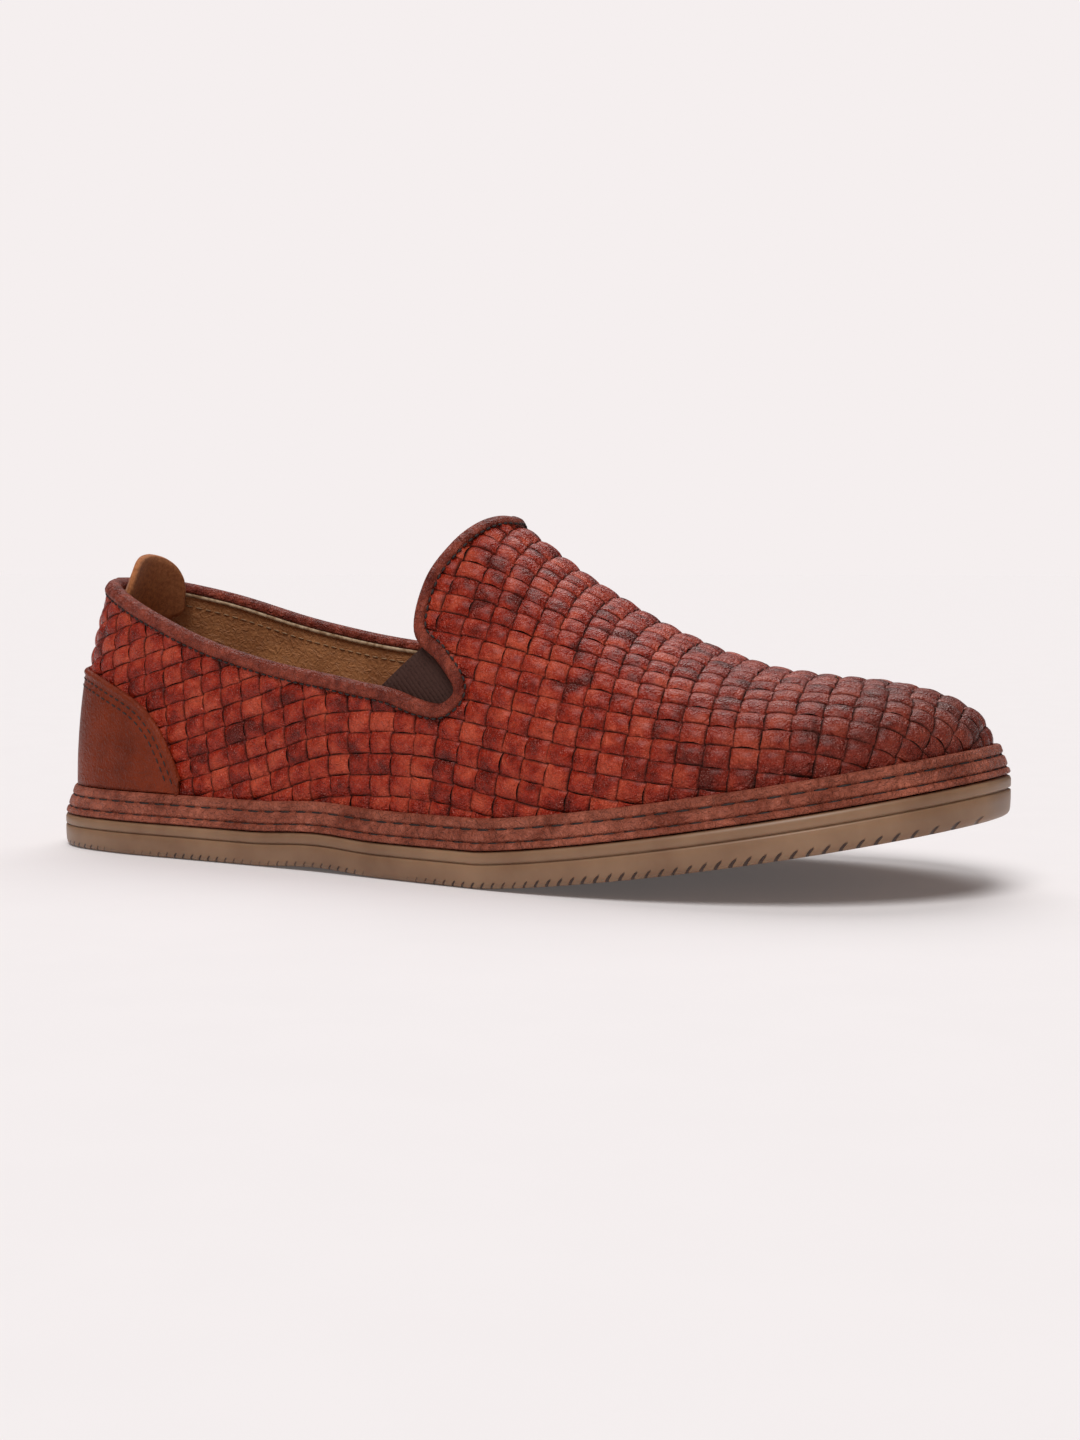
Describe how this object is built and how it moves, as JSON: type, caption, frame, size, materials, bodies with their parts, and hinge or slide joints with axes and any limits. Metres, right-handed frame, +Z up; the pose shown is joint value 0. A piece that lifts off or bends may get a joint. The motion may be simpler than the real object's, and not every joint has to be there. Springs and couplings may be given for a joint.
{
  "type": "slip-on shoe",
  "caption": "Right slip-on shoe with a plain-woven leather upper, smooth heel counter, elastic side gores, heel pull tab, stitched leather band and rubber sole.",
  "frame": {"origin": "on the floor, at the middle of the sole's length and width", "axes": "+X from the heel to the toe, +Z up, -Y towards the outer (lateral) side of the right foot"},
  "size_m": [0.292, 0.1054, 0.0996],
  "materials": {
    "outsole": "satin translucent tan-brown",
    "welt_band": "pebbled red-brown",
    "insole": "matt tan",
    "woven_upper": "polished cognac, darker at the toe",
    "heel_counter": "smooth dark brown",
    "topline_binding": "smooth dark brown",
    "gore": "ribbed elastic",
    "pull_tab": "tan-brown suede",
    "back_strap": "smooth dark brown"
  },
  "bodies": {
    "root": {"outsole": "outsole", "welt_band": "welt_band", "insole": "insole", "woven_upper": "woven_upper", "heel_counter": "heel_counter", "topline_binding": "topline_binding", "gore_lateral": "gore", "gore_medial": "gore", "pull_tab": "pull_tab", "back_strap": "back_strap"}
  },
  "joints": []
}
